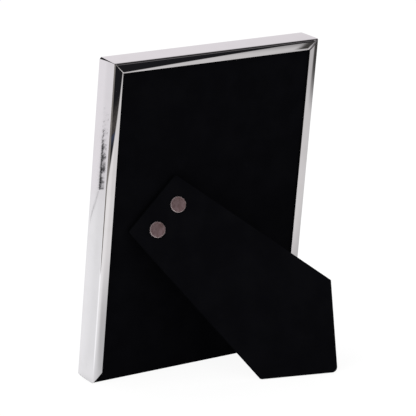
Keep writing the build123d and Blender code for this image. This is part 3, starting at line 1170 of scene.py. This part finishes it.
    def line(self, across: Value, aside: Value) -> Value:
        """A thin line that goes on from the streak.

        Args:
            across: the place across the streak.
            aside: the place to the camera's right.

        Returns:
            The share of light that the line takes.
        """
        line = (across + aside * self.line_slope).band(self.line_start, self.line_stop)
        return line * aside.band(self.line_fade_in, self.line_fade_out) * self.line_shade

    def room(self, graph: Graph, towards: Value, aside: Value) -> Value:
        """The dark room beyond the table's near edge.

        Args:
            graph: the floor's tree.
            towards: the place towards the camera.
            aside: the place to the camera's right.

        Returns:
            The room's colour.
        """
        before = (aside - towards * self.before_slope).fade(*self.before_edge)
        depth = aside + towards * self.room_slope
        mottle = graph.noise(graph.coords(), *self.brown_noise).ease(*self.brown_rise)
        brown = depth.band(self.brown_start, self.brown_stop) * mottle
        blue = depth.band(self.blue_start, self.blue_stop)
        dark = graph.blend(blue, graph.blend(brown, DARK, self.brown_shade), self.blue_shade)
        return graph.blend(before, dark, self.before_camera)

    def draw(self, graph: Graph) -> Tuple[Value, Value]:
        """Draws the nodes.

        Args:
            graph: the floor's tree.

        Returns:
            The floor's colour, and 1 where that colour takes no shadow.
        """
        axes = graph.node("ShaderNodeSeparateXYZ", None, {0: graph.coords()})
        x, y = graph.out(axes, "X"), graph.out(axes, "Y")
        towards, aside = table_axes(x, y)
        across = towards - aside * self.slant
        level = self.shaded(x, y) * (1 - self.streak(graph, across, aside)) * (1 - self.line(across, aside))
        level = level * (aside.ease(*self.level_rise) * self.level_gain + self.level)
        lit = graph.blend(aside.ease(*self.cool_rise), self.far_table, self.cool_table)
        lit = graph.blend(aside.ease(*self.warm_rise), lit, self.warm_table)
        beside = towards.fade(*self.beside_far) * aside.ease(*self.beside_right)
        beyond = (aside - towards * self.corner_slope).ease(*self.corner_edge)
        corner = beside.highest(beyond * aside.ease(*self.corner_right))
        table = graph.blend(corner, graph.blend(level, DARK, lit), self.beside_table)
        past = towards.ease(self.front, self.front + self.edge_blur)
        return graph.blend(past, table, self.room(graph, towards, aside)), past.highest(corner)


@dataclass(frozen=True)
class Surroundings:
    """White all round, which mirrors see as a room that is dim above and dark behind the camera.

    Spans are of the way that is looked along, as parts of its unit length.
    """

    ambient: float = 0.7
    white: Colour = (1.0, 1.0, 1.0)
    tint: Colour = (1.0, 0.962, 0.99)
    sky: float = 0.875
    ceiling: float = 0.58
    ceiling_rise: Span = (-0.55, 0.25)
    right_shade: float = 0.13
    right_rise: Span = (-0.05, 0.2)
    corner_shade: float = 0.94
    corner_start: Span = (-0.65, -0.3)
    corner_stop: Span = (0.25, 0.45)
    corner_right: Span = (0.05, 0.3)
    corner_up: Span = (0.1, 0.3)
    room_rise: Span = (-0.1, 0.25)
    room_up: Span = (-0.02, 0.25)

    def draw(self, graph: Graph) -> Value:
        """Draws the nodes and returns the background."""
        straight, mirrored = rays(graph)
        ways = graph.node("ShaderNodeTexCoord")
        axes = graph.node("ShaderNodeSeparateXYZ", None, {0: graph.out(ways, "Generated")})
        x, y, z = (graph.out(axes, axis) for axis in "XYZ")
        towards, aside = table_axes(x, y)
        above = self.sky - towards.ease(*self.ceiling_rise) * (self.sky - self.ceiling)
        above = above - aside.ease(*self.right_rise) * self.right_shade
        dim = towards.band(self.corner_start, self.corner_stop)
        dim = dim * aside.ease(*self.corner_right) * z.ease(*self.corner_up)
        above = above * (1 - dim * self.corner_shade)
        room = towards.ease(*self.room_rise) * z.fade(*self.room_up) * (1 - DARK[0])
        unseen = 1 - (straight + mirrored)
        strength = straight + mirrored * above * (1 - room) + unseen * self.ambient
        colour = graph.blend(mirrored, self.white, self.tint)
        return graph.out(graph.node("ShaderNodeBackground", None, {"Color": colour, "Strength": strength}))


class Studio:
    """White table and background, soft lamps and the camera."""

    CAMERA_PLACE = (1.02443, 1.35238, 0.47514)
    CAMERA_RIGHT = (-0.79894, 0.60137, -0.00754)
    CAMERA_DOWN = (0.13303, 0.16449, -0.97736)
    CAMERA_AHEAD = (-0.58652, -0.78186, -0.21143)
    LENS = 236.945
    SENSOR = 36.0
    FARTHEST = 50.0
    TABLE_HALF = 5.0
    SHADOW_SHARE = 0.12
    MIRRORED_SHADOW_SHARE = 0.12
    PAPER = (0.9, 0.9, 0.9)
    WHITE = (1.03, 1.03, 1.03)
    LAMP_SIZE = 1.2
    LAMP_AIM = (0, 0, 0.1)  # the middle of the frame
    LAMPS = {
        "key_lamp": ((1.3, 0.5, 1.5), 18.0),
        "fill_lamp": ((-1.4, -0.6, 1.6), 10.0),
        "front_lamp": ((0.4, -1.7, 1.0), 7.0),
    }  # place in metres, and power in watts

    def floor(self) -> None:
        """Builds the table top, which keeps the frame's shadow."""
        bm = bmesh.new()
        bmesh.ops.create_grid(bm, x_segments=1, y_segments=1, size=self.TABLE_HALF)
        mesh = bpy.data.meshes.new("table")
        bm.to_mesh(mesh)
        bm.free()
        material = bpy.data.materials.new("white_table")
        material.use_nodes = True
        material.cycles.emission_sampling = "NONE"
        graph = Graph(material.node_tree)
        straight, mirrored = rays(graph)
        look, flat = MirroredTable().draw(graph)
        paper_colour = graph.blend(mirrored, self.PAPER, look)
        glow_colour = graph.blend(mirrored, self.WHITE, look)
        paper = graph.node("ShaderNodeBsdfDiffuse", None, {"Color": paper_colour})
        glow = graph.node("ShaderNodeEmission", None, {"Color": glow_colour})
        lit = (1 - self.MIRRORED_SHADOW_SHARE) + flat * self.MIRRORED_SHADOW_SHARE
        share = straight * (1 - self.SHADOW_SHARE) + mirrored * lit
        sockets = {0: share, 1: graph.out(paper), 2: graph.out(glow)}
        graph.finish(graph.out(graph.node("ShaderNodeMixShader", None, sockets)))
        mesh.materials.append(material)
        table = bpy.data.objects.new("table", mesh)
        bpy.context.scene.collection.objects.link(table)

    def world(self) -> None:
        """Makes the surroundings."""
        world = bpy.data.worlds.new("studio")
        world.use_nodes = True
        world.cycles.sampling_method = "NONE"
        bpy.context.scene.world = world
        graph = Graph(world.node_tree)
        graph.finish(Surroundings().draw(graph), "ShaderNodeOutputWorld")

    def lamp(self, name: str, place: Sequence[float], power: float) -> None:
        """Adds a soft lamp that looks at the middle of the frame.

        Args:
            name: the lamp's name.
            place: where it stands, in metres.
            power: its power, in watts.
        """
        light = bpy.data.lights.new(name, "AREA")
        light.shape = "SQUARE"
        light.size = self.LAMP_SIZE
        light.energy = power
        lamp = bpy.data.objects.new(name, light)
        bpy.context.scene.collection.objects.link(lamp)
        aim = Vector(self.LAMP_AIM) - Vector(place)
        lamp.matrix_world = Matrix.Translation(place) @ aim.to_track_quat("-Z", "Y").to_matrix().to_4x4()
        lamp.visible_camera = False
        lamp.visible_glossy = False

    def camera(self) -> None:
        """Sets the camera at the photograph's viewing angle."""
        lens = bpy.data.cameras.new("camera")
        lens.sensor_fit = "HORIZONTAL"
        lens.sensor_width = self.SENSOR
        lens.lens = self.LENS
        lens.clip_end = self.FARTHEST
        camera = bpy.data.objects.new("camera", lens)
        bpy.context.scene.collection.objects.link(camera)
        right, down, ahead = (Vector(v) for v in (self.CAMERA_RIGHT, self.CAMERA_DOWN, self.CAMERA_AHEAD))
        camera.matrix_world = Places.plane(Vector(self.CAMERA_PLACE), right, -down, -ahead)
        bpy.context.scene.camera = camera

    def build(self) -> None:
        """Builds the whole studio."""
        self.camera()
        self.floor()
        self.world()
        for name, (place, power) in self.LAMPS.items():
            self.lamp(name, place, power)
        bpy.context.scene.view_settings.view_transform = "Standard"


def main() -> None:
    """Builds the studio, the frame's pieces and their finishes."""
    logging.basicConfig(level=logging.INFO)
    places = Places(frame["record"])
    velvet = Velvet("black_velvet")
    pewter = DullMetal("pewter_rivet", (0.43, 0.315, 0.325), (0.30, 0.205, 0.205), 380.0, 0.34)
    # Lighter pewter for the rivets' rims: a painted highlight.
    rim_highlight_pewter = DullMetal("rim_highlight_pewter", (0.74, 0.63, 0.635), (0.58, 0.49, 0.495), 900.0, 0.30)
    steel = DullMetal("hinge_steel", (0.55, 0.55, 0.54), (0.42, 0.41, 0.40), 350.0, 0.30)
    bracket = DullMetal("bracket_steel", (0.50, 0.50, 0.51), (0.38, 0.37, 0.36), 250.0, 0.34)
    # Near-black metal for the rails' cut ends: painted shade of the mitre seams.
    seam_shade = DullMetal("mitre_seam_shade", (0.05, 0.05, 0.052), (0.025, 0.025, 0.026), 900.0, 0.5)
    fibreboard = Board("fibreboard", (0.36, 0.25, 0.16), (0.22, 0.14, 0.08), (700.0, 700.0, 700.0))
    Studio().build()
    Rails(places, seam_shade).build()
    BackPanel(places, velvet).build()
    Leg(places, velvet, pewter, rim_highlight_pewter).build()
    Fittings(steel, bracket, ClearGlass("clear_glass")).build()
    dress({
        "photo_print": Board("print_paper", (0.86, 0.85, 0.83), (0.80, 0.79, 0.76), (500.0,) * 3, 0.35),
        "backing_card": Board("grey_card", (0.52, 0.51, 0.49), (0.40, 0.39, 0.37)),
        "filler_pad": Board("brown_card", (0.56, 0.42, 0.28), (0.44, 0.31, 0.19), (300.0, 300.0, 40.0)),
        "board_core": fibreboard,
        "leg_core": fibreboard,
        "board_lining": Board("lining_paper", (0.03, 0.03, 0.032), (0.018, 0.018, 0.02)),
        "leg_lining": Velvet("lining_cloth", (0.0045, 0.0045, 0.005), (0.008, 0.008, 0.009)),
    })


if __name__ == "__main__":
    main()
